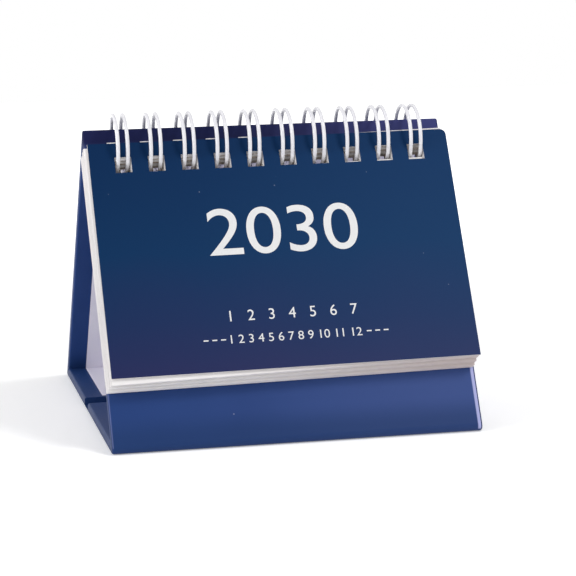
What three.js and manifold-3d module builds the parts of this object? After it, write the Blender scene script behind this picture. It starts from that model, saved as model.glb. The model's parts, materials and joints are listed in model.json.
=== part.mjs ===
// Standing desk calendar: a folded easel of wrapped boards, a block of month leaves and a
// front cover sheet, bound together over the ridge by one twin-loop wire.
// Millimetres, +Z up, +X along the width, the cover faces -Y.

import * as THREE from "three";
import { mergeVertices } from "three/addons/utils/BufferGeometryUtils.js";
import Module from "manifold-3d";

const wasm = await Module();
wasm.setup();

// Easel, measured to the sharp corners where its outer faces would meet
const standWidth = 93.8;
const ridgeHeight = 75.2;
const frontFoot = 43.1;
const backFoot = 50.0;
const ridgeRadius = 1.3;
const footRadius = 2.2;

// Layers of an easel wall, from the outside in: wrapping paper, board, lining paper
const paper = 0.25;
const layerGap = 0.3;
const boardThickness = 1.3;
const turnIn = 4.9;
const foldGap = 4.4;
const creaseFromBack = 43.0;
const creaseWidth = 6.0;

// Binding: square holes at a pitch of three to the inch
const holePitch = 25.4 / 3;
const holeCount = 10;
const holeWidth = 4.17;
const holeHeight = 4.18;
const standHoleHeight = 4.8;
const standHoleDrop = 8.9;

// Twin-loop wire. Its centre lies in the plane of the front face, below the sharp ridge
const wireDiameter = 1.0;
const loopRadius = 8.1;
const loopSpacing = 2.46;
const loopCentreDrop = 5.5;
const backBulge = 0.67;
const backBulgeAngle = -22;
const backBulgeReach = 50;
const frontFlat = 0.65;
const frontFlatAngle = 248;
const frontFlatReach = 45;
const connectorBend = 0.9;

// Cover sheet and leaf block, square sheets punched along their top edge and cut a little
// narrower than the easel
const coverMargin = 0.1;
const coverWidth = standWidth - 2 * coverMargin;
const coverHeight = 61.8;
const coverThickness = 0.4;
const coverTurn = 0.5;
const coverShift = 0.1;
const leafMargin = 0.2;
const leafWidth = standWidth - 2 * leafMargin;
const leafHeight = 62.5;
const leafTurn = 0.8;
const leafShift = -0.3;
const blockThickness = 4.4;
const topMargin = 3.84;
const wireBelowHoleTop = 1.42;
const cornerRadius = 1.5;

const degree = Math.PI / 180;
const wall = paper + layerGap + boardThickness + layerGap + paper;
const boardInset = paper + layerGap;
const frontLean = Math.atan2(frontFoot, ridgeHeight);
const backLean = Math.atan2(backFoot, ridgeHeight);
const frontSlant = Math.hypot(frontFoot, ridgeHeight);
const backSlant = Math.hypot(backFoot, ridgeHeight);
const holeXs = Array.from({ length: holeCount }, (_, i) => (i - (holeCount - 1) / 2) * holePitch);

// Colours from the photographed object
const finishes = {
  wrap: new THREE.MeshStandardMaterial({ color: 0x1c2f6e, roughness: 0.45, metalness: 0 }),
  board: new THREE.MeshStandardMaterial({ color: 0x8f887c, roughness: 0.9, metalness: 0 }),
  lining: new THREE.MeshStandardMaterial({ color: 0xe6e7f0, roughness: 0.7, metalness: 0 }),
  leaves: new THREE.MeshStandardMaterial({ color: 0xf2f1ee, roughness: 0.75, metalness: 0 }),
  cover: new THREE.MeshStandardMaterial({ color: 0x17305c, roughness: 0.5, metalness: 0 }),
  wire: new THREE.MeshStandardMaterial({ color: 0xf0f0f0, roughness: 0.35, metalness: 0.1 }),
};

// Solids for cutting and joining

function solidOf(geometry) {
  const bare = geometry.clone();
  bare.deleteAttribute("normal");
  bare.deleteAttribute("uv");
  const merged = mergeVertices(bare, 1e-4);
  const vertProperties = new Float32Array(merged.attributes.position.array);
  const triVerts = new Uint32Array(merged.index.array);
  return new wasm.Manifold(new wasm.Mesh({ numProp: 3, vertProperties, triVerts }));
}

function geometryOf(solid) {
  const mesh = solid.getMesh();
  const geometry = new THREE.BufferGeometry();
  geometry.setAttribute("position", new THREE.BufferAttribute(mesh.vertProperties, 3));
  geometry.setIndex(new THREE.BufferAttribute(mesh.triVerts, 1));
  geometry.computeVertexNormals();
  return geometry;
}

function named(name, geometry, finish) {
  const mesh = new THREE.Mesh(geometry, finish);
  mesh.name = name;
  return mesh;
}

// The easel's section lies in Y and Z. Three straight faces, each moved inwards by an inset
const corners = {
  front: { point: [-frontFoot, 0], inner: (Math.PI / 2 - frontLean) / 2, radius: footRadius },
  ridge: { point: [0, ridgeHeight], inner: (frontLean + backLean) / 2, radius: ridgeRadius },
  back: { point: [backFoot, 0], inner: (Math.PI / 2 - backLean) / 2, radius: footRadius },
};
const inwards = {
  front: [Math.cos(corners.front.inner), Math.sin(corners.front.inner)],
  ridge: [Math.sin((backLean - frontLean) / 2), -Math.cos((backLean - frontLean) / 2)],
  back: [-Math.cos(corners.back.inner), Math.sin(corners.back.inner)],
};

function insetCorner(name, inset) {
  const { point, inner } = corners[name];
  const along = inset / Math.sin(inner);
  return [point[0] + inwards[name][0] * along, point[1] + inwards[name][1] * along];
}

// A corner rounded by an arc that touches both faces, as a short list of points
function roundedCorner(name, inset, pieces = 5) {
  const { inner, radius } = corners[name];
  const arcRadius = radius - inset;
  const [cy, cz] = insetCorner(name, radius);
  const outward = Math.atan2(-inwards[name][1], -inwards[name][0]);
  const half = Math.PI / 2 - inner;
  return Array.from({ length: pieces + 1 }, (_, i) => {
    const angle = outward + half - (2 * half * i) / pieces;
    return [cy + arcRadius * Math.cos(angle), cz + arcRadius * Math.sin(angle)];
  });
}

// Solid with the given Y-Z outline between two places along X
function alongX(outline, fromX, toX) {
  const shape = new THREE.Shape(outline.map(([y, z]) => new THREE.Vector2(y, z)));
  const geometry = new THREE.ExtrudeGeometry(shape, { depth: toX - fromX, bevelEnabled: false });
  const yAxis = new THREE.Vector3(0, 1, 0);
  const zAxis = new THREE.Vector3(0, 0, 1);
  const xAxis = new THREE.Vector3(1, 0, 0);
  geometry.applyMatrix4(new THREE.Matrix4().makeBasis(yAxis, zAxis, xAxis));
  geometry.translate(fromX, 0, 0);
  return geometry;
}

function roundedSection(inset) {
  return ["front", "ridge", "back"].flatMap((name) => roundedCorner(name, inset));
}

function rectangle(y0, z0, y1, z1) {
  return [[y0, z0], [y1, z0], [y1, z1], [y0, z1]];
}

// Frames of the two slanted faces: x along the width, y up the face, z out of it
const frontFace = new THREE.Matrix4().makeRotationX(Math.PI / 2 - frontLean);
frontFace.setPosition(0, -frontFoot, 0);
const backFace = new THREE.Matrix4().makeRotationX(Math.PI / 2 - backLean);
backFace.premultiply(new THREE.Matrix4().makeRotationZ(Math.PI));
backFace.setPosition(0, backFoot, 0);

function slab(width, low, high, inner, outer) {
  const geometry = new THREE.BoxGeometry(width, high - low, outer - inner);
  geometry.translate(0, (low + high) / 2, (inner + outer) / 2);
  return geometry;
}

// Square cutters for the punched rows of both slanted walls
function wallPunches() {
  const cutters = [];
  for (const [face, slant] of [[frontFace, frontSlant], [backFace, backSlant]]) {
    const high = slant - standHoleDrop;
    for (const x of holeXs) {
      const cutter = slab(holeWidth, high - standHoleHeight, high, -wall - 1, 1);
      cutter.translate(x, 0, 0);
      cutters.push(solidOf(cutter.applyMatrix4(face)));
    }
  }
  return wasm.Manifold.union(cutters);
}

const punches = wallPunches();
const creaseMiddle = backFoot - creaseFromBack;
const creaseFront = creaseMiddle - creaseWidth / 2;
const creaseBack = creaseMiddle + creaseWidth / 2;
const boardWidth = standWidth - 2 * boardInset;

// The four boards of the easel: two slanted and two in the base, each with its place
const slantedBoards = {
  front_board: { face: frontFace, low: foldGap, high: frontSlant - foldGap },
  back_board: { face: backFace, low: foldGap, high: backSlant - foldGap },
};
const baseBoards = {
  rear_base_board: [creaseBack + boardInset, backFoot - foldGap],
  front_base_board: [-frontFoot + foldGap, creaseFront - boardInset],
};

function slantedBoard({ face, low, high }, clearance) {
  const width = boardWidth + 2 * clearance;
  const inner = -boardInset - boardThickness - clearance;
  const outer = -boardInset + clearance;
  return slab(width, low - clearance, high + clearance, inner, outer).applyMatrix4(face);
}

function baseBoard([y0, y1], clearance) {
  const half = boardWidth / 2 + clearance;
  const low = boardInset - clearance;
  const high = boardInset + boardThickness + clearance;
  return alongX(rectangle(y0 - clearance, low, y1 + clearance, high), -half, half);
}

function buildBoards() {
  const slanted = Object.entries(slantedBoards).map(([name, place]) => {
    const punched = solidOf(slantedBoard(place, 0)).subtract(punches);
    return named(name, geometryOf(punched), finishes.board);
  });
  const flat = Object.entries(baseBoards).map(([name, place]) =>
    named(name, baseBoard(place, 0), finishes.board));
  return [...slanted, ...flat];
}

// One sheet of paper goes round all four boards, closes over their side edges and turns in
// by a narrow margin. Over the front half of the base it covers the board's top as well.
function buildWrap() {
  const half = standWidth / 2;
  const tunnel = ["front", "ridge", "back"].map((name) => insetCorner(name, wall));
  const past = 1;
  let wrap = solidOf(alongX(roundedSection(0), -half, half));
  wrap = wrap.subtract(solidOf(alongX(tunnel, -half - past, half + past)));

  const creaseCut = rectangle(creaseFront, 2 * paper, creaseBack, wall + past);
  wrap = wrap.subtract(solidOf(alongX(creaseCut, -half - past, half + past)));

  const open = half - turnIn;
  const baseTop = rectangle(-frontFoot - past, wall - paper, creaseFront, wall);
  let middle = solidOf(alongX(roundedSection(paper), -open, open));
  middle = middle.subtract(solidOf(alongX(baseTop, -half, half)));
  wrap = wrap.subtract(middle);

  for (const place of Object.values(slantedBoards)) {
    wrap = wrap.subtract(solidOf(slantedBoard(place, layerGap)));
  }
  for (const place of Object.values(baseBoards)) {
    wrap = wrap.subtract(solidOf(baseBoard(place, layerGap)));
  }
  return named("wrap", geometryOf(wrap.subtract(punches)), finishes.wrap);
}

// Lining paper on the inner faces, from the foot of the front board round to the crease
function buildLining() {
  const footOf = (inset) => {
    const up = foldGap + wall;
    const out = -frontFoot + up * Math.sin(frontLean) + inset * Math.cos(frontLean);
    return [out, up * Math.cos(frontLean) - inset * Math.sin(frontLean)];
  };
  const side = (inset) => [
    footOf(inset),
    insetCorner("ridge", inset),
    insetCorner("back", inset),
    [creaseBack, inset],
  ];
  const outline = [...side(wall - paper), ...side(wall).reverse()];
  const half = standWidth / 2 - turnIn - layerGap;
  const lining = solidOf(alongX(outline, -half, half)).subtract(punches);
  return named("lining", geometryOf(lining), finishes.lining);
}

// The loop's section: a circle, let out a little at the back and flattened below the front,
// where the leaves pull on it. Angles run from +Y over the top.
function windowOf(angle, middle, reach) {
  const turn = Math.atan2(Math.sin(angle - middle * degree), Math.cos(angle - middle * degree));
  const t = turn / (reach * degree);
  return Math.abs(t) < 1 ? Math.cos((t * Math.PI) / 2) ** 2 : 0;
}

function loopPoint(angle) {
  const bulge = backBulge * windowOf(angle, backBulgeAngle, backBulgeReach);
  const flat = frontFlat * windowOf(angle, frontFlatAngle, frontFlatReach);
  const radius = loopRadius + bulge - flat;
  return [radius * Math.cos(angle), radius * Math.sin(angle)];
}

const centreUp = frontSlant - loopCentreDrop;
const loopCentre = [
  -frontFoot + centreUp * Math.sin(frontLean),
  centreUp * Math.cos(frontLean),
];

// How far below the loop's centre, down the front face, the wire lies where it is "out"
// millimetres in front of that face
function wireDropAt(out) {
  let low = 150 * degree;
  let high = 300 * degree;
  for (let i = 0; i < 40; i += 1) {
    const angle = (low + high) / 2;
    const [y, z] = loopPoint(angle);
    const outNow = -y * Math.cos(frontLean) + z * Math.sin(frontLean);
    if (outNow > out) low = angle;
    else high = angle;
  }
  const [y, z] = loopPoint(low);
  return -(y * Math.sin(frontLean) + z * Math.cos(frontLean));
}

// Stations of a swept wire, taken one by one instead of by arc length
class StationPath extends THREE.Curve {
  constructor(stations) {
    super();
    this.stations = stations;
  }

  getPoint(t, target = new THREE.Vector3()) {
    const place = t * (this.stations.length - 1);
    const i = Math.min(Math.floor(place + 1e-6), this.stations.length - 2);
    return target.lerpVectors(this.stations[i], this.stations[i + 1], place - i);
  }

  getPointAt(u, target) {
    return this.getPoint(u, target);
  }

  getTangentAt(u, target = new THREE.Vector3()) {
    const last = this.stations.length - 1;
    const i = Math.round(u * last);
    const before = this.stations[Math.max(i - 1, 0)];
    const after = this.stations[Math.min(i + 1, last)];
    return target.subVectors(after, before).normalize();
  }
}

// One wire makes every loop: up from its root behind the ridge, over the top, down through
// the leaves to a rounded tip inside the easel, back the same way and across to the next
const rootAngle = -62;
const tipAngle = 262;
const legSteps = 25;
const bendSteps = 4;

function buildWire() {
  const half = loopSpacing / 2;
  const stations = [];
  const add = (x, angle, past = 0) => {
    const [y, z] = loopPoint(angle * degree);
    const ty = -Math.sin(angle * degree) * past;
    const tz = Math.cos(angle * degree) * past;
    stations.push(new THREE.Vector3(x, loopCentre[0] + y + ty, loopCentre[1] + z + tz));
  };
  const leg = (x, fromAngle, toAngle) => {
    for (let i = 0; i <= legSteps; i += 1) add(x, fromAngle + ((toAngle - fromAngle) * i) / legSteps);
  };
  const bend = (x, side, angle, radius, direction, fromTurn, toTurn) => {
    for (let i = 1; i < bendSteps; i += 1) {
      const turn = (fromTurn + ((toTurn - fromTurn) * i) / bendSteps) * degree;
      add(x + side * radius * (1 - Math.cos(turn)), angle, direction * radius * Math.sin(turn));
    }
  };
  for (const x of holeXs) {
    leg(x - half, rootAngle, tipAngle);
    bend(x - half, 1, tipAngle, half, 1, 0, 180);
    leg(x + half, tipAngle, rootAngle);
    if (x === holeXs[holeXs.length - 1]) break;
    const next = x + holePitch - half;
    bend(x + half, 1, rootAngle, connectorBend, -1, 0, 90);
    add(x + half + connectorBend, rootAngle, -connectorBend);
    add(next - connectorBend, rootAngle, -connectorBend);
    bend(next - 2 * connectorBend, 1, rootAngle, connectorBend, -1, 90, 180);
  }
  const section = new THREE.Shape();
  const sides = 6;
  for (let i = 0; i < sides; i += 1) {
    const angle = (i / sides) * 2 * Math.PI;
    const x = (wireDiameter / 2) * Math.cos(angle);
    const y = (wireDiameter / 2) * Math.sin(angle);
    if (i === 0) section.moveTo(x, y);
    else section.lineTo(x, y);
  }
  section.closePath();
  const sweep = { steps: stations.length - 1, extrudePath: new StationPath(stations), bevelEnabled: false };
  return named("wire_binding", new THREE.ExtrudeGeometry(section, sweep), finishes.wire);
}

// A punched sheet, drawn from the top edge of its hole row: x across, y up
function sheetShape(width, height, margin, radius) {
  const shape = new THREE.Shape();
  const half = width / 2;
  const top = margin;
  const bottom = margin - height;
  shape.moveTo(-half, bottom);
  shape.lineTo(half, bottom);
  shape.lineTo(half, top - radius);
  if (radius > 0) shape.absarc(half - radius, top - radius, radius, 0, Math.PI / 2, false);
  shape.lineTo(-half, top);
  shape.closePath();
  return shape;
}

function punchedSheet(width, height, shift, radius, thickness) {
  const shape = sheetShape(width, height, topMargin, radius);
  const sheet = new THREE.ExtrudeGeometry(shape, { depth: thickness, bevelEnabled: false, curveSegments: 3 });
  const cutters = holeXs.map((x) => {
    const cutter = slab(holeWidth, -holeHeight, 0, -1, thickness + 1);
    cutter.translate(x - shift, 0, 0);
    return solidOf(cutter);
  });
  return geometryOf(solidOf(sheet).subtract(wasm.Manifold.union(cutters)));
}

const coverOut = layerGap + blockThickness + layerGap;
const coverWireUp = centreUp - wireDropAt(coverOut + coverThickness / 2);
const frontLeafWireUp = centreUp - wireDropAt(layerGap + blockThickness);
const rearLeafWireUp = centreUp - wireDropAt(layerGap);

// Places a sheet on the front face: turned a little about its hole row, hung on the wire
function hang(mesh, turn, shift, holeTopUp, out) {
  mesh.geometry.translate(shift, 0, 0);
  mesh.geometry.rotateZ(turn * degree);
  mesh.geometry.translate(0, holeTopUp, out);
  mesh.geometry.applyMatrix4(frontFace);
  return mesh;
}

function buildCover() {
  const sheet = punchedSheet(coverWidth, coverHeight, coverShift, cornerRadius, coverThickness);
  const cover = named("front_cover", sheet, finishes.cover);
  return hang(cover, coverTurn, coverShift, coverWireUp + wireBelowHoleTop, coverOut);
}

// The leaves hang on a curved wire, so each one lies a little lower than the one before it
function buildLeaves() {
  const sheet = punchedSheet(leafWidth, leafHeight, leafShift, 0, blockThickness);
  const rise = (frontLeafWireUp - rearLeafWireUp) / blockThickness;
  sheet.applyMatrix4(new THREE.Matrix4().makeShear(0, 0, 0, 0, 0, rise));
  const leaves = named("leaf_block", sheet, finishes.leaves);
  return hang(leaves, leafTurn, leafShift, rearLeafWireUp + wireBelowHoleTop, layerGap);
}

const calendar = new THREE.Group();
calendar.add(...buildBoards(), buildWrap(), buildLining(), buildLeaves(), buildCover(), buildWire());

// The origin is under the middle of the whole object
const box = new THREE.Box3().setFromObject(calendar, true);
calendar.position.set(-(box.min.x + box.max.x) / 2, -(box.min.y + box.max.y) / 2, -box.min.z);

export default calendar;
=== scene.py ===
import json
import math
import random

import bmesh
import bpy
from mathutils import Matrix, Vector


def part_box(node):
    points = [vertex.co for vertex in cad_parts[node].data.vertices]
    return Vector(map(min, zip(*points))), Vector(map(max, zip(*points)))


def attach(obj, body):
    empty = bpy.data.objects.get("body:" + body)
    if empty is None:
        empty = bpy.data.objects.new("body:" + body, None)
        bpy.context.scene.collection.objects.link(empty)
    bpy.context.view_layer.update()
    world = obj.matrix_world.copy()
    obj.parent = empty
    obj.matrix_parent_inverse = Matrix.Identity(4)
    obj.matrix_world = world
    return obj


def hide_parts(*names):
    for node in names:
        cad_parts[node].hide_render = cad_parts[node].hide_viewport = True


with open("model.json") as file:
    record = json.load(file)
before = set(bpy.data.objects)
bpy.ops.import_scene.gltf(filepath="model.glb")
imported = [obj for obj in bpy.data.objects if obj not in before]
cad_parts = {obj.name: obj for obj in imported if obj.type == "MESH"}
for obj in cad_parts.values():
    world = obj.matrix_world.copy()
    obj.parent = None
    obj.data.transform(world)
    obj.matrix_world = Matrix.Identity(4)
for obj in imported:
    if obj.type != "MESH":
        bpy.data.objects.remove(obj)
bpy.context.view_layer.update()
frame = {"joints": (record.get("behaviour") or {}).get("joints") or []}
mm = 0.001
samePlace = 0.01 * mm  # points closer than this count as one
cutPast = 1 * mm  # how far a cutter reaches past what it cuts

# Camera, as fitted to the photograph

view = {
    "location": (-0.11708, -0.56662, 0.13957),
    "right": (0.97643, -0.21559, -0.01029),
    "up": (0.04973, 0.17829, 0.98273),
    "back": (-0.21003, -0.96007, 0.18481),
    "lens": 139.375,
    "sensor": 36.0,
}


def makeCamera():
    data = bpy.data.cameras.new("photoCamera")
    data.lens = view["lens"]
    data.sensor_width = view["sensor"]
    camera = bpy.data.objects.new("photoCamera", data)
    bpy.context.scene.collection.objects.link(camera)
    turn = Matrix((view["right"], view["up"], view["back"])).transposed()
    camera.matrix_world = Matrix.Translation(view["location"]) @ turn.to_4x4()
    bpy.context.scene.camera = camera
    bpy.context.scene.view_settings.view_transform = "Standard"


makeCamera()
print("camera set")

# Modelling helpers


def selectOnly(*pieces):
    bpy.ops.object.select_all(action="DESELECT")
    for piece in pieces:
        piece.select_set(True)
    bpy.context.view_layer.objects.active = pieces[0]


def rename(piece, name):
    piece.name = name
    piece.data.name = name
    return piece


def startPiece(name, add, **settings):
    bpy.ops.object.select_all(action="DESELECT")
    add(**settings)
    return rename(bpy.context.object, name)


def toMesh(piece):
    selectOnly(piece)
    bpy.ops.object.convert(target="MESH")
    return bpy.context.object


def openEdit(piece):
    selectOnly(piece)
    bpy.ops.object.mode_set(mode="EDIT")
    bpy.ops.mesh.select_all(action="SELECT")


def closeEdit():
    bpy.ops.object.mode_set(mode="OBJECT")


def pick(piece, kind, wanted):
    bpy.ops.mesh.select_mode(type=kind)
    bpy.ops.mesh.select_all(action="DESELECT")
    mesh = bmesh.from_edit_mesh(piece.data)
    parts = {"VERT": mesh.verts, "EDGE": mesh.edges, "FACE": mesh.faces}[kind]
    for part in parts:
        if wanted(part):
            part.select_set(True)
    mesh.select_flush_mode()
    bmesh.update_edit_mesh(piece.data)


def alongWidthAt(y, z):
    # Tells whether an edge runs along the width at this place of the section
    return lambda edge: all(math.hypot(v.co.y - y, v.co.z - z) < samePlace for v in edge.verts)


def faceOutwards():
    bpy.ops.mesh.select_all(action="SELECT")
    bpy.ops.mesh.normals_make_consistent(inside=False)


def extrudeAll(offset):
    bpy.ops.mesh.select_all(action="SELECT")
    bpy.ops.mesh.extrude_region_move(TRANSFORM_OT_translate={"value": offset})
    faceOutwards()


def applyModifier(piece, kind, **settings):
    selectOnly(piece)
    modifier = piece.modifiers.new(kind.title(), kind)
    for key, value in settings.items():
        setattr(modifier, key, value)
    bpy.ops.object.modifier_apply(modifier=modifier.name)


def joinPieces(name, pieces):
    selectOnly(*pieces)
    bpy.ops.object.join()
    return rename(pieces[0], name)


def makeBlock(name, low, high, place=None):
    low, high = Vector(low), Vector(high)
    block = startPiece(name, bpy.ops.mesh.primitive_cube_add, size=1)
    size = Matrix.Diagonal((*(high - low), 1))
    block.data.transform((place or Matrix()) @ Matrix.Translation((low + high) / 2) @ size)
    return block


def cutAway(piece, cutter):
    applyModifier(piece, "BOOLEAN", operation="DIFFERENCE", solver="EXACT", object=cutter)
    bpy.data.objects.remove(cutter)


def smoothByAngle(piece, degrees):
    selectOnly(piece)
    bpy.ops.object.shade_smooth_by_angle(angle=math.radians(degrees))


def named(name):
    # The material of this name, made empty when a piece asks for it before its finish is
    return bpy.data.materials.get(name) or bpy.data.materials.new(name)


def wear(piece, *names):
    piece.data.materials.clear()
    for name in names:
        piece.data.materials.append(named(name))


def finishPiece(piece, body, slotName, *nodes):
    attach(piece, body)
    if nodes:
        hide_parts(*nodes)


# The easel's section has three straight faces, measured to their sharp corners

wrapLow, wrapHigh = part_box("wrap")
hinge = frame["joints"][0]["pos_m"]
easel = {
    "middleX": (wrapLow.x + wrapHigh.x) / 2,
    "halfWidth": (wrapHigh.x - wrapLow.x) / 2,
    "ridgeHeight": 75.2 * mm,
    "frontFoot": 43.1 * mm,  # from the ridge forwards
    "backFoot": 50.0 * mm,  # from the ridge backwards
    "wireDrop": 5.5 * mm,  # from the ridge down the front wall to the wire's centre
    "wall": 2.4 * mm,
    "paper": 0.25 * mm,  # the skin over each board
    "frontRadius": 1.6 * mm,
    "ridgeRadius": 0.8 * mm,
    "backRadius": 1.0 * mm,
    "cornerSteps": 12,
    "edgeRadius": 0.45 * mm,
    "edgeSteps": 3,
    "edgeAngle": 50,  # degrees, from which an edge is rounded
    "smoothAngle": 35,
    "creaseFromBack": 43.0 * mm,
    "creaseWidth": 6.0 * mm,
    "creaseSlope": 0.3 * mm,
}
punch = {
    "count": 10,
    "pitch": 25.4 / 3 * mm,
    "width": 4.17 * mm,
    "height": 4.18 * mm,
    "wireBelowTop": 1.42 * mm,  # from a sheet's hole top down to the wire's middle
    "standHeight": 4.8 * mm,
    "standDrop": 8.9 * mm,  # from the ridge to the stand's holes
}
frontLean = math.atan2(easel["frontFoot"], easel["ridgeHeight"])
backLean = math.atan2(easel["backFoot"], easel["ridgeHeight"])
frontSlant = math.hypot(easel["frontFoot"], easel["ridgeHeight"])
backSlant = math.hypot(easel["backFoot"], easel["ridgeHeight"])
ridgeY = hinge[1] + easel["wireDrop"] * math.sin(frontLean)
frontToe = ridgeY - easel["frontFoot"]
backToe = ridgeY + easel["backFoot"]
creaseMiddle = backToe - easel["creaseFromBack"]
creaseFront = creaseMiddle - easel["creaseWidth"] / 2
creaseBack = creaseMiddle + easel["creaseWidth"] / 2
holeXs = [(i - (punch["count"] - 1) / 2) * punch["pitch"] for i in range(punch["count"])]

# Frames of the slanted faces: x across, y up the face, z out of it
frontFace = Matrix.Translation((easel["middleX"], frontToe, 0))
frontFace = frontFace @ Matrix.Rotation(math.pi / 2 - frontLean, 4, "X")
backFace = Matrix.Translation((easel["middleX"], backToe, 0)) @ Matrix.Rotation(math.pi, 4, "Z")
backFace = backFace @ Matrix.Rotation(math.pi / 2 - backLean, 4, "X")

# Each corner of the section: its place, half the angle inside it, and the direction straight inwards
frontHalf = (math.pi / 2 - frontLean) / 2
backHalf = (math.pi / 2 - backLean) / 2
ridgeHalf = (frontLean + backLean) / 2
ridgeInward = (backLean - frontLean) / 2 - math.pi / 2
corners = {
    "front": ((frontToe, 0.0), frontHalf, frontHalf),
    "ridge": ((ridgeY, easel["ridgeHeight"]), ridgeHalf, ridgeInward),
    "back": ((backToe, 0.0), backHalf, math.pi - backHalf),
}


def insetCorner(name, inset):
    (y, z), halfAngle, inward = corners[name]
    along = inset / math.sin(halfAngle)
    return y + along * math.cos(inward), z + along * math.sin(inward)


def trianglePrism(name, inset, halfWidth):
    # A three-sided start, moved to the section's corners and drawn out along the width
    prism = startPiece(name, bpy.ops.mesh.primitive_circle_add, vertices=3, fill_type="NGON")
    for vertex, corner in zip(prism.data.vertices, ("front", "ridge", "back")):
        vertex.co = (easel["middleX"] - halfWidth, *insetCorner(corner, inset))
    openEdit(prism)
    extrudeAll((2 * halfWidth, 0, 0))
    return prism


def makePunches(name):
    # The square cutters for the row of holes in both slanted walls
    half = punch["width"] / 2
    cutters = []
    for face, slant in ((frontFace, frontSlant), (backFace, backSlant)):
        top = slant - punch["standDrop"]
        for x in holeXs:
            low = (x - half, top - punch["standHeight"], -easel["wall"] - cutPast)
            cutters.append(makeBlock(name, low, (x + half, top, cutPast), face))
    return joinPieces(name, cutters)


def makeCreaseCutter():
    side = easel["halfWidth"] + cutPast
    low = (easel["middleX"] - side, creaseFront, 2 * easel["paper"])
    crease = makeBlock("crease", low, (easel["middleX"] + side, creaseBack, easel["wall"] + cutPast))
    for vertex in crease.data.vertices:
        if vertex.co.z > easel["wall"]:
            vertex.co.y += math.copysign(easel["creaseSlope"], vertex.co.y - creaseMiddle)
    return crease


board = {
    "fromSide": 0.5 * mm,
    "fromFoot": 5.7 * mm,
    "fromRidge": 4.4 * mm,
    "fromCrease": 0.5 * mm,
    "clear": 0.02 * mm,  # between a board and its pocket
    "edgeRadius": 0.05 * mm,
}


def boardPlaces():
    # The low and high corner of each board, and the frame that they are measured in
    half = easel["halfWidth"] - board["fromSide"]
    skin = easel["paper"]
    inside = easel["wall"] - easel["paper"]
    floorFace = Matrix.Translation((easel["middleX"], 0, 0))

    def inWall(slant, face):
        return (-half, board["fromFoot"], -inside), (half, slant - board["fromRidge"], -skin), face

    def inBase(start, stop):
        return (-half, start, skin), (half, stop, inside), floorFace

    return {
        "front_board": inWall(frontSlant, frontFace),
        "back_board": inWall(backSlant, backFace),
        "rear_base_board": inBase(creaseBack + board["fromCrease"], backToe - board["fromFoot"]),
        "front_base_board": inBase(frontToe + board["fromFoot"], creaseFront - board["fromCrease"]),
    }


boards = boardPlaces()


def makeWrap():
    wrap = trianglePrism("wrapSkin", 0, easel["halfWidth"])
    for name, (place, halfAngle, inward) in corners.items():
        pick(wrap, "EDGE", alongWidthAt(*place))
        reach = easel[name + "Radius"] / math.tan(halfAngle)
        bpy.ops.mesh.bevel(offset_type="OFFSET", offset=reach, affect="EDGES",
                           segments=easel["cornerSteps"])
    closeEdit()
    tunnel = trianglePrism("tunnel", easel["wall"], easel["halfWidth"] + cutPast)
    closeEdit()
    cutAway(wrap, tunnel)
    # The edges are rounded before the crease, which leaves the wall too thin to round
    applyModifier(wrap, "BEVEL", width=easel["edgeRadius"], segments=easel["edgeSteps"],
                  limit_method="ANGLE", angle_limit=math.radians(easel["edgeAngle"]))
    cutAway(wrap, makeCreaseCutter())
    pockets = [makeBlock("pocket", low, high, place) for low, high, place in boards.values()]
    cutAway(wrap, joinPieces("pockets", pockets))
    cutAway(wrap, makePunches("wrapPunches"))
    smoothByAngle(wrap, easel["smoothAngle"])
    wear(wrap, "navyPaper")
    finishPiece(wrap, "root", "navy_wrap", "wrap")


def makeBoards():
    clear = Vector((board["clear"],) * 3)
    for node, (low, high, place) in boards.items():
        piece = makeBlock(node + "_core", Vector(low) + clear, Vector(high) - clear, place)
        if node in ("front_board", "back_board"):
            cutAway(piece, makePunches("boardPunches"))
        applyModifier(piece, "BEVEL", width=board["edgeRadius"], segments=1, limit_method="ANGLE")
        wear(piece, "boardCore")
        finishPiece(piece, "root", "greyboard", node)


lining = {
    "fromWall": 0.07 * mm,  # to the middle of the sheet
    "thickness": 0.12 * mm,
    "fromSide": 4.9 * mm,  # the turned-in margin of the wrap
    "fromFoot": 6.8 * mm,
    "fromCrease": 1.4 * mm,
}


def makeLining():
    # One thin sheet from the foot of the front wall over the ridge and down to the crease
    inset = easel["wall"] + lining["fromWall"]
    up = lining["fromFoot"]
    half = easel["halfWidth"] - lining["fromSide"]
    foot = (frontToe + up * math.sin(frontLean) + inset * math.cos(frontLean),
            up * math.cos(frontLean) - inset * math.sin(frontLean))
    end = (creaseBack + lining["fromCrease"], inset)
    route = [foot, insetCorner("ridge", inset), insetCorner("back", inset), end]
    sheet = startPiece("liningSheet", bpy.ops.mesh.primitive_plane_add, size=1)
    starts = [(side * half, *place) for place in route[:2] for side in (-1, 1)]
    for vertex, (x, y, z) in zip(sheet.data.vertices, starts):
        vertex.co = (easel["middleX"] + x, y, z)
    openEdit(sheet)
    for (y0, z0), (y1, z1) in zip(route[1:], route[2:]):
        pick(sheet, "EDGE", alongWidthAt(y0, z0))
        bpy.ops.mesh.extrude_edges_move(TRANSFORM_OT_translate={"value": (0, y1 - y0, z1 - z0)})
    faceOutwards()
    closeEdit()
    applyModifier(sheet, "SOLIDIFY", thickness=lining["thickness"], offset=0, use_even_offset=True)
    cutAway(sheet, makePunches("liningPunches"))
    wear(sheet, "liningPaper")
    finishPiece(sheet, "root", "lining_paper", "lining")


makeWrap()
makeBoards()
makeLining()
print("easel made")

# Twin-loop wire. Its angles are in degrees: 0 is straight back, 90 straight up

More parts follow.
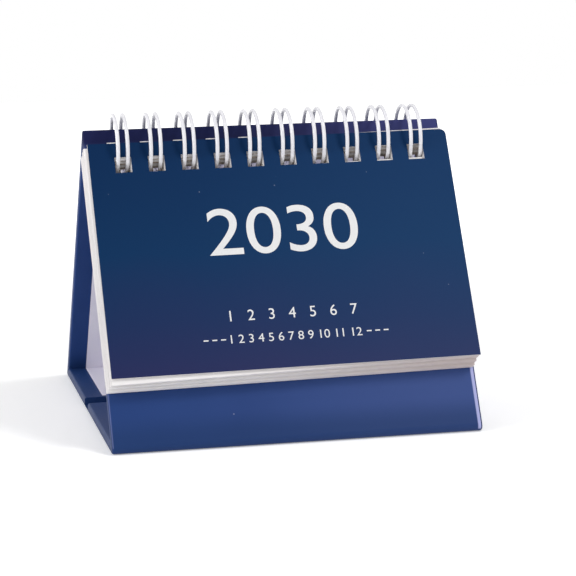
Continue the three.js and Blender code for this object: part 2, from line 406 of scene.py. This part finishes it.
loop = {
    "wire": 1.0 * mm,
    "radius": 8.1 * mm,
    "spacing": 2.46 * mm,  # between the two wires of a loop
    "backBulge": 0.67 * mm,
    "backBulgeAngle": -22,
    "backBulgeReach": 50,
    "frontFlat": 0.65 * mm,
    "frontFlatAngle": 248,
    "frontFlatReach": 45,
    "frontAngles": (150, 300),  # the part of a loop that the sheets hang on
    "searchSteps": 40,
    "rootAngle": -62,
    "tipAngle": 262,
    "connectorBend": 0.9 * mm,
    "legSteps": 54,
    "bendSteps": 8,
    "roundSteps": 4,
    "smoothAngle": 60,
}
# How each loop stands, in mm: how far its tip leans to the right, how far its two wires open there,
# and how far its back is drawn to the right
stance = {
    "lean": [0.05, -0.10, 0.06, 0.0, -0.08, 0.10, -0.05, 0.12, -0.06, 0.10],
    "open": [0.0, 0.05, -0.05, 0.02, 0.0, 0.06, -0.02, 0.22, 0.0, 0.20],
    "back": [0.65, 0.60, 0.45, 0.50, 0.40, 0.50, 0.55, 0.70, 0.55, 0.15],
    "growth": 1.5,  # the power by which the lean grows along the loop
}


def windowOf(angle, middle, reach):
    # 1 at the middle angle, falling softly to 0 at its reach on both sides
    turn = (angle - middle + 180) % 360 - 180
    return math.cos(turn / reach * math.pi / 2) ** 2 if abs(turn) < reach else 0


def loopPoint(angle):
    bulge = loop["backBulge"] * windowOf(angle, loop["backBulgeAngle"], loop["backBulgeReach"])
    flat = loop["frontFlat"] * windowOf(angle, loop["frontFlatAngle"], loop["frontFlatReach"])
    radius = loop["radius"] + bulge - flat
    return radius * math.cos(math.radians(angle)), radius * math.sin(math.radians(angle))


def wireDropAt(out):
    # How far below the loop's centre, down the front face, the wire lies at this distance out of it
    low, high = loop["frontAngles"]
    for halving in range(loop["searchSteps"]):
        angle = (low + high) / 2
        y, z = loopPoint(angle)
        if -y * math.cos(frontLean) + z * math.sin(frontLean) > out:
            low = angle
        else:
            high = angle
    y, z = loopPoint(low)
    return -(y * math.sin(frontLean) + z * math.cos(frontLean))


def wireRoute():
    # One wire: up and down each double loop, round its tip, and over a connector to the next loop
    half = loop["spacing"] / 2
    bend = loop["connectorBend"]
    steps = loop["bendSteps"]
    stations = []

    def add(x, angle, index, side, past=0.0):
        # A point of the loop at this angle, or past it along the loop's tangent
        y, z = loopPoint(angle)
        along = (angle - loop["rootAngle"]) / (loop["tipAngle"] - loop["rootAngle"])
        lean = (stance["lean"][index] + side * stance["open"][index] / 2) * along ** stance["growth"]
        back = stance["back"][index] * max(y / loop["radius"], 0)
        turn = math.radians(angle)
        stations.append((
            easel["middleX"] + x + (lean + back) * mm,
            hinge[1] + y - math.sin(turn) * past,
            hinge[2] + z + math.cos(turn) * past))

    def leg(x, start, stop, index, side):
        for i in range(loop["legSteps"] + 1):
            add(x, start + (stop - start) * i / loop["legSteps"], index, side)

    for index, x in enumerate(holeXs):
        leg(x - half, loop["rootAngle"], loop["tipAngle"], index, -1)
        for i in range(1, steps):
            turn = math.pi * i / steps
            side = -math.cos(turn)
            add(x + half * side, loop["tipAngle"], index, side, half * math.sin(turn))
        leg(x + half, loop["tipAngle"], loop["rootAngle"], index, 1)
        if index == len(holeXs) - 1:
            break
        nextStart = x + punch["pitch"] - half - 2 * bend
        for start, first, last, owner in ((x + half, 0, 90, index), (nextStart, 90, 180, index + 1)):
            for i in range(steps // 2 + 1):
                turn = math.radians(first + (last - first) * i / (steps // 2))
                if 0 < turn < math.pi:
                    reach = bend * (1 - math.cos(turn))
                    add(start + reach, loop["rootAngle"], owner, 0, -bend * math.sin(turn))
    return stations


def makeWire():
    stations = wireRoute()
    wire = startPiece("wireLoops", bpy.ops.curve.primitive_nurbs_path_add)
    wire.data.splines.clear()
    spline = wire.data.splines.new("POLY")
    spline.points.add(len(stations) - 1)
    for point, station in zip(spline.points, stations):
        point.co = (*station, 1)
    wire.data.dimensions = "3D"
    wire.data.bevel_depth = loop["wire"] / 2
    wire.data.bevel_resolution = loop["roundSteps"]
    wire.data.use_fill_caps = True
    wire = toMesh(wire)
    smoothByAngle(wire, loop["smoothAngle"])
    wear(wire, "whiteWire")
    finishPiece(wire, "root", "white_wire", "wire_binding")


makeWire()
print("wire made")

# Punched sheets. They hang from the wire by their holes, a little turned in their own plane

cover = {
    "width": 93.6 * mm,
    "height": 61.8 * mm,
    "thickness": 0.4 * mm,
    "topMargin": 3.84 * mm,  # above the holes
    "corner": 1.5 * mm,  # radius of the upper right corner
    "cornerSteps": 6,
    "out": 5.0 * mm,  # of the front wall's face
    "turn": 0.5,  # degrees
    "shift": 0.1 * mm,  # to the right
}
leaf = {
    "width": 93.4 * mm,
    "height": 62.45 * mm,
    "thickness": 0.27 * mm,
    "topMargin": 3.70 * mm,
    "corner": 0,
    "out": 0.3 * mm,
    "block": 4.4 * mm,  # the thickness of all the leaves together
    "count": 13,
    "groups": (4, 8),  # the last leaf of the rear group and of the middle one
    "groupDrop": 0.48 * mm,
    "groupGap": 0.25 * mm,
    "turn": 0.8,
    "frontTurn": 0.60,
    "shift": -0.8 * mm,
    "rearShift": -0.40 * mm,
    "frontRaise": 0.26 * mm,
    "chanceTurn": 0.04,  # how far chance may turn, shift and lower a leaf
    "chanceShift": 0.07 * mm,
    "chanceDrop": 0.05 * mm,
    "seed": 7,
    "whiteWalls": 3,  # how many front leaves keep white walls in their holes; the rear ones take the painted shade
}
dogEar = {
    "count": 5,
    "start": -3.6 * mm,  # from the middle of a hole
    "stop": -0.9 * mm,
    "below": 1.4 * mm,  # the cover's upper edge
    "above": 0.55 * mm,
    "gap": 0.32 * mm,  # behind the cover
}


def holeTopUp(out):
    # How far up the front face a sheet's hole tops lie, at this distance out of it
    return frontSlant - easel["wireDrop"] - wireDropAt(out) + punch["wireBelowTop"]


def hangMatrix(out, turn, shift):
    hang = frontFace @ Matrix.Translation((0, holeTopUp(out), out))
    return hang @ Matrix.Rotation(math.radians(turn), 4, "Z") @ Matrix.Translation((shift, 0, 0))


# The wire meets the cover half way through its thickness
coverMiddle = cover["thickness"] / 2
coverPlace = hangMatrix(cover["out"] + coverMiddle, cover["turn"], cover["shift"])
coverPlace = coverPlace @ Matrix.Translation((0, 0, -coverMiddle))


def makeSheet(name, size):
    # A flat sheet, cut along the edges of its holes, whose squares are then taken out
    top = size["topMargin"]
    centres = [x - size["shift"] for x in holeXs]
    sheet = startPiece(name, bpy.ops.mesh.primitive_plane_add, size=1)
    middle = Matrix.Translation((0, top - size["height"] / 2, 0))
    sheet.data.transform(middle @ Matrix.Diagonal((size["width"], size["height"], 1, 1)))
    openEdit(sheet)
    cuts = [((x + side * punch["width"] / 2, 0, 0), (1, 0, 0)) for x in centres for side in (-1, 1)]
    cuts += [((0, y, 0), (0, 1, 0)) for y in (0.0, -punch["height"])]
    for place, direction in cuts:
        bpy.ops.mesh.select_all(action="SELECT")
        bpy.ops.mesh.bisect(plane_co=place, plane_no=direction)

    def inHole(face):
        centre = face.calc_center_median()
        acrossHole = any(abs(centre.x - x) < punch["width"] / 2 for x in centres)
        return acrossHole and -punch["height"] < centre.y < 0

    def atCorner(vertex):
        return math.hypot(vertex.co.x - size["width"] / 2, vertex.co.y - top) < samePlace

    pick(sheet, "FACE", inHole)
    bpy.ops.mesh.delete(type="FACE")
    if size["corner"]:
        pick(sheet, "VERT", atCorner)
        bpy.ops.mesh.bevel(offset=size["corner"], segments=size["cornerSteps"], affect="VERTICES")
    extrudeAll((0, 0, size["thickness"]))
    closeEdit()
    return sheet


def makeCover():
    sheet = makeSheet("coverSheet", cover)
    wear(sheet, "coverCard", "cutEdge", "cardBack")
    front, edge, back = range(3)
    for face in sheet.data.polygons:
        face.material_index = front if face.normal.z > 0.5 else back if face.normal.z < -0.5 else edge
    sheet.data.transform(coverPlace)
    finishPiece(sheet, "cover", "cover_card", "front_cover")


def paintLeaf(sheet, whiteWalls):
    # The two sides have a paper of their own, and in the rear leaves the walls of the holes take a painted
    # warm shade
    paper, wall, side = range(3)
    for face in sheet.data.polygons:
        atSide = abs(face.center.x) > leaf["width"] / 2 - samePlace
        inHoleRow = -punch["height"] - samePlace < face.center.y < samePlace
        shadedHoleWall = inHoleRow and abs(face.normal.z) < 0.5 and not whiteWalls
        face.material_index = side if atSide else wall if shadedHoleWall else paper


def makeLeaves():
    # The leaves lie in three groups, each a step higher than the one behind it, and none is quite true
    chance = random.Random(leaf["seed"])
    master = makeSheet("monthLeaf", leaf)
    wear(master, "leafPaper", "holeEdge", "cutEdge")

    def stray(reach):
        return chance.uniform(-1, 1) * reach

    lastGroup = len(leaf["groups"])
    step = (leaf["block"] - leaf["thickness"] - lastGroup * leaf["groupGap"]) / (leaf["count"] - 1)
    leaves = []
    for i in range(leaf["count"]):
        sheet = master.copy()
        sheet.data = master.data.copy()
        bpy.context.scene.collection.objects.link(sheet)
        paintLeaf(sheet, i >= leaf["count"] - leaf["whiteWalls"])
        group = sum(i > last for last in leaf["groups"])
        forward = i / (leaf["count"] - 1)  # 0 for the leaf at the wall, 1 for the one at the cover
        out = leaf["out"] + i * step + group * leaf["groupGap"]
        turn = leaf["turn"] + leaf["frontTurn"] * forward ** 2 + stray(leaf["chanceTurn"])
        shift = leaf["shift"] + leaf["rearShift"] * (1 - forward) + stray(leaf["chanceShift"])
        top = holeTopUp(cover["out"]) - (lastGroup - group) * leaf["groupDrop"]
        top += leaf["frontRaise"] * forward
        up = top - holeTopUp(out) + stray(leaf["chanceDrop"])
        sheet.data.transform(hangMatrix(out, turn, shift) @ Matrix.Translation((0, up, 0)))
        leaves.append(sheet)
    bpy.data.objects.remove(master)
    return leaves


def makeDogEars():
    # At the first holes a leaf's upper edge is dog-eared, and stands a little above the cover
    dogEars = []
    top = cover["topMargin"]
    for x in holeXs[:dogEar["count"]]:
        low = (x + dogEar["start"], top - dogEar["below"], -leaf["thickness"] - dogEar["gap"])
        high = (x + dogEar["stop"], top + dogEar["above"], -dogEar["gap"])
        piece = makeBlock("dogEar", low, high, coverPlace)
        wear(piece, "leafPaper")
        dogEars.append(piece)
    return dogEars


makeCover()
finishPiece(joinPieces("monthLeaves", makeLeaves() + makeDogEars()), "root", "leaf_paper", "leaf_block")
print("sheets made")

# Plain generic numbers and dashes in white ink

ink = {"depth": 0.02 * mm, "lift": 0.004 * mm}
# Each line's words, its middle in shares of the cover's width and height, and its own width and height
numbers = {
    "yearNumber": ("2030", 0.505, 0.41, 38.7 * mm, 12.6 * mm),
    "dayNumbers": ("   ".join(str(day) for day in range(1, 8)), 0.504, 0.77, 32.6 * mm, 2.8 * mm),
    "monthNumbers": (" ".join(str(month) for month in range(1, 13)), 0.504, 0.868, 33.4 * mm, 2.2 * mm),
}
dash = {
    "across": 0.504,
    "down": 0.868,
    "first": 0.198,  # from the middle to both sides
    "step": 0.0235,
    "count": 3,
    "width": 1.25 * mm,
    "height": 0.32 * mm,
}


def onCover(across, down):
    # A place on the cover as shares of its width and height from the top left corner
    x = (across - 0.5) * cover["width"]
    y = cover["topMargin"] - down * cover["height"]
    return Vector((x, y, cover["thickness"] + ink["lift"]))


def makeNumber(name, words, across, down, width, height):
    text = startPiece(name, bpy.ops.object.text_add)
    text.data.body = words
    text.data.extrude = 0.5  # a whole unit deep, so that the ink's depth scales it
    text = toMesh(text)
    xs = [v.co.x for v in text.data.vertices]
    ys = [v.co.y for v in text.data.vertices]
    middle = Vector(((min(xs) + max(xs)) / 2, (min(ys) + max(ys)) / 2, 0))
    size = Matrix.Diagonal((width / (max(xs) - min(xs)), height / (max(ys) - min(ys)), ink["depth"], 1))
    place = coverPlace @ Matrix.Translation(onCover(across, down))
    text.data.transform(place @ size @ Matrix.Translation(-middle))
    return text


def makeDash(across):
    spot = onCover(across, dash["down"])
    half = Vector((dash["width"], dash["height"], ink["depth"])) / 2
    return makeBlock("dash", spot - half, spot + half, coverPlace)


def makePrint():
    pieces = [makeNumber(name, *line) for name, line in numbers.items()]
    steps = [side * (dash["first"] + dash["step"] * i) for side in (-1, 1) for i in range(dash["count"])]
    dashes = [makeDash(dash["across"] + step) for step in steps]
    for piece in (*pieces, joinPieces("plainDashes", dashes)):
        wear(piece, "whiteInk")
        finishPiece(piece, "cover", "white_wire")


makePrint()
print("print made")

# Shader helpers


class Value:
    # A socket inside a node tree. Sums on it add Math nodes
    def __init__(self, maker, socket):
        self.maker = maker
        self.socket = socket

    def math(self, operation, first, second):
        return self.maker.add("ShaderNodeMath", {"operation": operation}, {0: first, 1: second})

    def __add__(self, other):
        return self.math("ADD", self, other)

    def __radd__(self, other):
        return self.math("ADD", other, self)

    def __sub__(self, other):
        return self.math("SUBTRACT", self, other)

    def __rsub__(self, other):
        return self.math("SUBTRACT", other, self)

    def __mul__(self, other):
        return self.math("MULTIPLY", self, other)

    def __rmul__(self, other):
        return self.math("MULTIPLY", other, self)

    def over(self, edge, softness):
        # 0 below the edge, 1 above it, with a soft step between
        settings = {"interpolation_type": "SMOOTHSTEP"}
        ends = {"Value": self, "From Min": edge - softness / 2, "From Max": edge + softness / 2}
        return self.maker.add("ShaderNodeMapRange", settings, ends)

    def atMost(self, limit):
        return self.math("MINIMUM", self, limit)


class NodeMaker:
    # The node tree of a material or a sky. New nodes all come from add
    def __init__(self, owner):
        owner.use_nodes = True
        self.tree = owner.node_tree

    def add(self, kind, settings, inputs, output=0):
        node = self.tree.nodes.new(kind)
        for key, value in settings.items():
            if key == "stops":
                self.setStops(node.color_ramp, value)
            else:
                setattr(node, key, value)
        for key, value in inputs.items():
            self.feed(node.inputs[key], value)
        return Value(self, node.outputs[output])

    def setStops(self, ramp, stops):
        while len(ramp.elements) < len(stops):
            ramp.elements.new(1.0)
        for element, (place, colour) in zip(ramp.elements, stops):
            element.position = place
            element.color = (*colour, 1)

    def feed(self, socket, value):
        if isinstance(value, Value):
            self.tree.links.new(value.socket, socket)
        elif isinstance(value, tuple) and len(value) == 3 and socket.type == "RGBA":
            socket.default_value = (*value, 1)
        else:
            socket.default_value = value

    def levelFrom(self, onPieces):
        # 1 for the rays that show the background itself, less for the light that falls on the pieces
        kinds = ("Is Camera Ray", "Is Glossy Ray", "Is Transmission Ray")
        camera, glossy, through = (self.add("ShaderNodeLightPath", {}, {}, kind) for kind in kinds)
        return onPieces + (camera + glossy + through).atMost(1.0) * (1 - onPieces)


socketNames = {
    "colour": "Base Color",
    "roughness": "Roughness",
    "specular": "Specular IOR Level",
    "coat": "Coat Weight",
    "coatRoughness": "Coat Roughness",
    "normal": "Normal",
    "glow": "Emission Color",
    "glowStrength": "Emission Strength",
}


class Finish(NodeMaker):
    # One material
    def __init__(self, name):
        material = named(name)
        super().__init__(material)
        self.shader = self.tree.nodes["Principled BSDF"]

    def set(self, **sockets):
        for key, value in sockets.items():
            self.feed(self.shader.inputs[socketNames[key]], value)

    def place(self):
        return self.add("ShaderNodeTexCoord", {}, {}, "Object")

    def axis(self, name):
        return self.add("ShaderNodeSeparateXYZ", {}, {"Vector": self.place()}, name)

    def noise(self, size, detail, roughness):
        knobs = {"Vector": self.place(), "Scale": 1 / size, "Detail": detail, "Roughness": roughness}
        return self.add("ShaderNodeTexNoise", {}, knobs)

    def specks(self, look):
        # Small soft spots, only in some patches of the surface
        knobs = {"Vector": self.place(), "Scale": 1 / look["speckSpacing"]}
        distance = self.add("ShaderNodeTexVoronoi", {}, knobs, "Distance")
        reach = look["speckRadius"] / look["speckSpacing"]
        patches = self.noise(*look["speckPatches"]).over(*look["speckPatchFrom"])
        return (1 - distance.over(reach, look["speckSoftness"] * reach)) * patches

    def mix(self, factor, first, second):
        return self.add("ShaderNodeMix", {"data_type": "RGBA"}, {0: factor, 6: first, 7: second}, 2)

    def ramp(self, factor, stops):
        return self.add("ShaderNodeValToRGB", {"stops": stops}, {"Fac": factor})

    def bump(self, height, depth, strength):
        knobs = {"Height": height, "Distance": depth, "Strength": strength}
        return self.add("ShaderNodeBump", {}, knobs)


# Finishes. A noise is given by its size, detail and roughness, a bump by its depth and strength.
# A name with From holds a place and the softness of the step there. One with Share says how much
# of a colour shows

navy = {
    "body": [(0.3, (0.018, 0.048, 0.176)), (0.7, (0.025, 0.061, 0.210))],
    # Painted light and sheen: the paper turns lighter towards the right, where the light falls
    "right": (0.050, 0.086, 0.262),
    "rightFrom": (5 * mm, 100 * mm),
    "rightShare": 0.8,
    # Painted shade and light on the ridge: dark on the left, where the loops and the leaves cast their
    # shadows, lighter to the right
    "ridgeFrom": (70.5 * mm, 3 * mm),
    "ridgeLeft": (0.007, 0.008, 0.050),
    "ridgeRight": (0.045, 0.049, 0.176),
    "ridgeRightFrom": (15 * mm, 60 * mm),
    "ridgeShare": 0.92,
    # Painted shade: a darker band along the rounded foot of the front wall
    "footFrom": (6.2 * mm, 6 * mm),
    "foot": (0.012, 0.036, 0.120),
    "footShare": 0.6,
    # Painted highlights: light lines along the rounded side edges of the front wall
    "stripe": (0.50, 0.52, 0.86),
    "rightStripe": ((1.20 * mm, 0.3 * mm), (0.42 * mm, 0.2 * mm)),  # its two edges, from the side
    "rightStripeFrom": (-0.6 * mm, 0.5 * mm),
    "rightStripeShare": 0.85,
    "leftStripe": (0.40 * mm, 0.2 * mm),
    "leftStripeFrom": (-0.14 * mm, 0.1 * mm),
    "leftStripeShare": 0.15,
    # Painted shade on the two end faces
    "end": (0.010, 0.018, 0.062),
    "rightEnd": (0.40 * mm, 0.1 * mm),
    "rightEndShare": 0.6,
    "leftEnd": (0.12 * mm, 0.1 * mm),
    "leftEndShare": 0.45,
    "cloud": (35 * mm, 2.0, 0.55),
    "grain": (0.6 * mm, 3.0, 0.6),
    "speck": (0.45, 0.48, 0.60),
    "speckShare": 0.5,
    "speckSpacing": 4.2 * mm,
    "speckRadius": 0.16 * mm,
    "speckSoftness": 0.4,  # of the radius
    "speckPatches": (6 * mm, 1.0, 0.55),
    "speckPatchFrom": (0.54, 0.05),
    "roughness": 0.36,
    "roughnessGrain": 0.14,
    "roughnessRidge": 0.2,
    "specular": 0.10,
    "bump": (0.03 * mm, 0.5),
}


def navyFinish():
    finish = Finish("navyPaper")
    grain = finish.noise(*navy["grain"])
    height = finish.axis("Z")
    toRight = finish.axis("X") - easel["middleX"]
    toLeft = 0 - toRight
    ridge = height.over(*navy["ridgeFrom"])
    foot = 1 - height.over(*navy["footFrom"])
    # How far out of the front wall's face a point lies, so that only that face takes the painted highlights
    outOfFace = (frontToe - finish.axis("Y")) * math.cos(frontLean) + height * math.sin(frontLean)

    def nearEnd(reach, edge):
        distance, softness = edge
        return reach.over(easel["halfWidth"] - distance, softness)

    body = finish.ramp(finish.noise(*navy["cloud"]), navy["body"])
    # Painted light and sheen from the right
    body = finish.mix(toRight.over(*navy["rightFrom"]) * navy["rightShare"], body, navy["right"])
    # Painted shade and light on the ridge
    ridgeShadeColour = finish.mix(toRight.over(*navy["ridgeRightFrom"]), navy["ridgeLeft"], navy["ridgeRight"])
    body = finish.mix(ridge * navy["ridgeShare"], body, ridgeShadeColour)
    # Painted shade along the foot
    body = finish.mix(foot * navy["footShare"], body, navy["foot"])

    # Painted highlights along the side edges
    inner, outer = navy["rightStripe"]
    rightStripe = nearEnd(toRight, inner) * (1 - nearEnd(toRight, outer))
    rightStripe = rightStripe * outOfFace.over(*navy["rightStripeFrom"]) * navy["rightStripeShare"]
    leftStripe = nearEnd(toLeft, navy["leftStripe"]) * outOfFace.over(*navy["leftStripeFrom"])
    highlights = (rightStripe + leftStripe * navy["leftStripeShare"]) * (1 - ridge)
    colour = finish.mix(highlights, body, navy["stripe"])
    # Painted shade on the end faces
    rightEnd = nearEnd(toRight, navy["rightEnd"]) * navy["rightEndShare"]
    leftEnd = nearEnd(toLeft, navy["leftEnd"]) * navy["leftEndShare"]
    colour = finish.mix(rightEnd + leftEnd, colour, navy["end"])
    colour = finish.mix(finish.specks(navy) * navy["speckShare"], colour, navy["speck"])
    roughness = navy["roughness"] + navy["roughnessGrain"] * grain + navy["roughnessRidge"] * ridge
    finish.set(colour=colour, roughness=roughness, specular=navy["specular"],
               normal=finish.bump(grain, *navy["bump"]))


card = {
    "foot": 18 * mm,  # where the colours start, and how far up they run
    "rise": 55 * mm,
    # Both ramps run up from the foot; the right one is lighter, a painted light that falls from the right
    "left": [
        (0.0, (0.0240, 0.0275, 0.0980)),
        (0.22, (0.0135, 0.0290, 0.0990)),
        (0.5, (0.0045, 0.0315, 0.1010)),
        (1.0, (0.0028, 0.0225, 0.0810)),
    ],
    "right": [
        (0.0, (0.0290, 0.0410, 0.1200)),
        (0.22, (0.0180, 0.0410, 0.1210)),
        (0.5, (0.0090, 0.0420, 0.1230)),
        (1.0, (0.0060, 0.0350, 0.1130)),
    ],
    "rightFrom": (0, 110 * mm),
    "cloud": (30 * mm, 2.0, 0.55),
    "cloudShare": 0.18,
    "grain": (0.5 * mm, 3.0, 0.6),
    "speck": (0.40, 0.46, 0.58),
    "speckShare": 0.45,
    "speckSpacing": 5.0 * mm,
    "speckRadius": 0.14 * mm,
    "speckSoftness": 0.4,
    "speckPatches": (8 * mm, 1.0, 0.55),
    "speckPatchFrom": (0.52, 0.05),
    "roughness": 0.42,
    "roughnessGrain": 0.12,
    "specular": 0.045,
    "bump": (0.03 * mm, 0.5),
}


def coverFinish():
    finish = Finish("coverCard")
    grain = finish.noise(*card["grain"])
    cloud = finish.noise(*card["cloud"]) - 0.5
    spot = (finish.axis("Z") - card["foot"]) * (1 / card["rise"]) + card["cloudShare"] * cloud
    left, right = (finish.ramp(spot, card[side]) for side in ("left", "right"))
    # Painted light: the cover turns lighter towards the right
    body = finish.mix(finish.axis("X").over(*card["rightFrom"]), left, right)
    colour = finish.mix(finish.specks(card) * card["speckShare"], body, card["speck"])
    finish.set(colour=colour, roughness=card["roughness"] + card["roughnessGrain"] * grain,
               specular=card["specular"], normal=finish.bump(grain, *card["bump"]))


paper = {
    "cloud": (9 * mm, 3.0, 0.55),
    "fibre": (0.5 * mm, 4.0, 0.65),
    "cloudShare": 0.6,
    "darkAt": 0.3,
    "lightAt": 0.7,
    # Painted warm shade on the lower right of the leaves
    "warm": (0.66, 0.56, 0.545),
    "warmRightFrom": (15 * mm, 90 * mm),
    "warmBelowFrom": (19.5 * mm, 4 * mm),
    "specular": 0.3,
    "bump": (0.04 * mm, 0.5),
}
papers = {
    "boardCore": {"light": (0.38, 0.31, 0.235), "dark": (0.24, 0.19, 0.145), "roughness": 0.9},
    "leafPaper": {"light": (0.93, 0.905, 0.905), "dark": (0.88, 0.855, 0.855), "warmth": 0.9},
    "cardBack": {"light": (0.86, 0.85, 0.85), "dark": (0.83, 0.82, 0.825)},
    "cutEdge": {"light": (0.80, 0.78, 0.78), "dark": (0.68, 0.66, 0.67), "roughness": 0.85},
    # Painted warm shade for the walls of the holes in the rear leaves
    "holeEdge": {"light": (0.74, 0.64, 0.54), "dark": (0.58, 0.49, 0.40), "roughness": 0.9},
    "liningPaper": {"light": (0.95, 0.925, 1.0), "dark": (0.90, 0.87, 0.98)},
    "whiteInk": {"light": (0.84, 0.84, 0.84), "dark": (0.76, 0.76, 0.77), "roughness": 0.6},
}


def paperFinish(name, light, dark, roughness=0.75, warmth=0):
    finish = Finish(name)
    fibre = finish.noise(*paper["fibre"])
    mottle = paper["cloudShare"] * finish.noise(*paper["cloud"]) + (1 - paper["cloudShare"]) * fibre
    colour = finish.ramp(mottle, [(paper["darkAt"], dark), (paper["lightAt"], light)])
    # Painted warm shade towards the lower right
    if warmth:
        toRight = finish.axis("X").over(*paper["warmRightFrom"])
        low = 1 - finish.axis("Z").over(*paper["warmBelowFrom"])
        colour = finish.mix(toRight * low * warmth, colour, paper["warm"])
    finish.set(colour=colour, roughness=roughness, specular=paper["specular"],
               normal=finish.bump(fibre, *paper["bump"]))


enamel = {
    "colours": [(0.35, (0.78, 0.775, 0.82)), (0.65, (0.84, 0.835, 0.87))],
    "wear": (3 * mm, 3.0, 0.55),
    "ripple": (1.2 * mm, 2.0, 0.55),
    "roughness": 0.26,
    "roughnessWear": 0.12,
    "coat": 0.35,
    "coatRoughness": 0.15,
    "bump": (0.02 * mm, 0.4),
}


def wireFinish():
    finish = Finish("whiteWire")
    worn = finish.noise(*enamel["wear"])
    ripple = finish.noise(*enamel["ripple"])
    finish.set(colour=finish.ramp(worn, enamel["colours"]),
               roughness=enamel["roughness"] + enamel["roughnessWear"] * worn,
               coat=enamel["coat"], coatRoughness=enamel["coatRoughness"],
               normal=finish.bump(ripple, *enamel["bump"]))


navyFinish()
coverFinish()
for name, look in papers.items():
    paperFinish(name, **look)
wireFinish()
print("finishes made")

# Floor, lights and background

studio = {
    "floorSize": 1.6,
    "floorDrop": 0.05 * mm,
    "floorColour": (0.93, 0.93, 0.93),
    "floorRoughness": 0.9,
    "floorSpecular": 0.1,
    "glowNear": 0.30,
    "glowFar": 0.85,
    "glowFarFrom": (0.22, 0.22),
    "glowOnPieces": 0.6,
    "skyOnPieces": 0.50,
    "black": (0, 0, 0),
    "white": (1, 1, 1),
    "lampAim": (0, 0, 0.04),
}
lamps = {
    "keyLamp": {"place": (0.42, -0.36, 0.72), "size": 0.26, "power": 2.6},
    "fillLamp": {"place": (-0.76, -0.12, 0.24), "size": 0.50, "power": 3.2},
}


def makeFloor():
    floor = startPiece("studioFloor", bpy.ops.mesh.primitive_plane_add, size=studio["floorSize"])
    floor.data.transform(Matrix.Translation((0, 0, -studio["floorDrop"])))
    finish = Finish("floorWhite")
    away = finish.add("ShaderNodeVectorMath", {"operation": "LENGTH"}, {0: finish.place()}, "Value")
    glow = studio["glowNear"] + away.over(*studio["glowFarFrom"]) * (studio["glowFar"] - studio["glowNear"])
    glow = glow * finish.levelFrom(studio["glowOnPieces"])
    finish.set(colour=studio["floorColour"], roughness=studio["floorRoughness"],
               specular=studio["floorSpecular"],
               glow=finish.mix(glow, studio["black"], studio["white"]), glowStrength=1)
    wear(floor, "floorWhite")


def makeLamp(name, place, size, power):
    data = bpy.data.lights.new(name, "AREA")
    data.shape = "DISK"
    data.size = size
    data.energy = power
    lamp = bpy.data.objects.new(name, data)
    bpy.context.scene.collection.objects.link(lamp)
    aim = (Vector(studio["lampAim"]) - Vector(place)).to_track_quat("-Z", "Y")
    lamp.matrix_world = Matrix.Translation(place) @ aim.to_matrix().to_4x4()


def makeSky():
    world = bpy.data.worlds.new("studioSky")
    bpy.context.scene.world = world
    sky = NodeMaker(world)
    background = sky.tree.nodes["Background"]
    sky.feed(background.inputs["Color"], studio["white"])
    sky.feed(background.inputs["Strength"], sky.levelFrom(studio["skyOnPieces"]))


makeFloor()
for name, lamp in lamps.items():
    makeLamp(name, **lamp)
makeSky()
print("studio made")
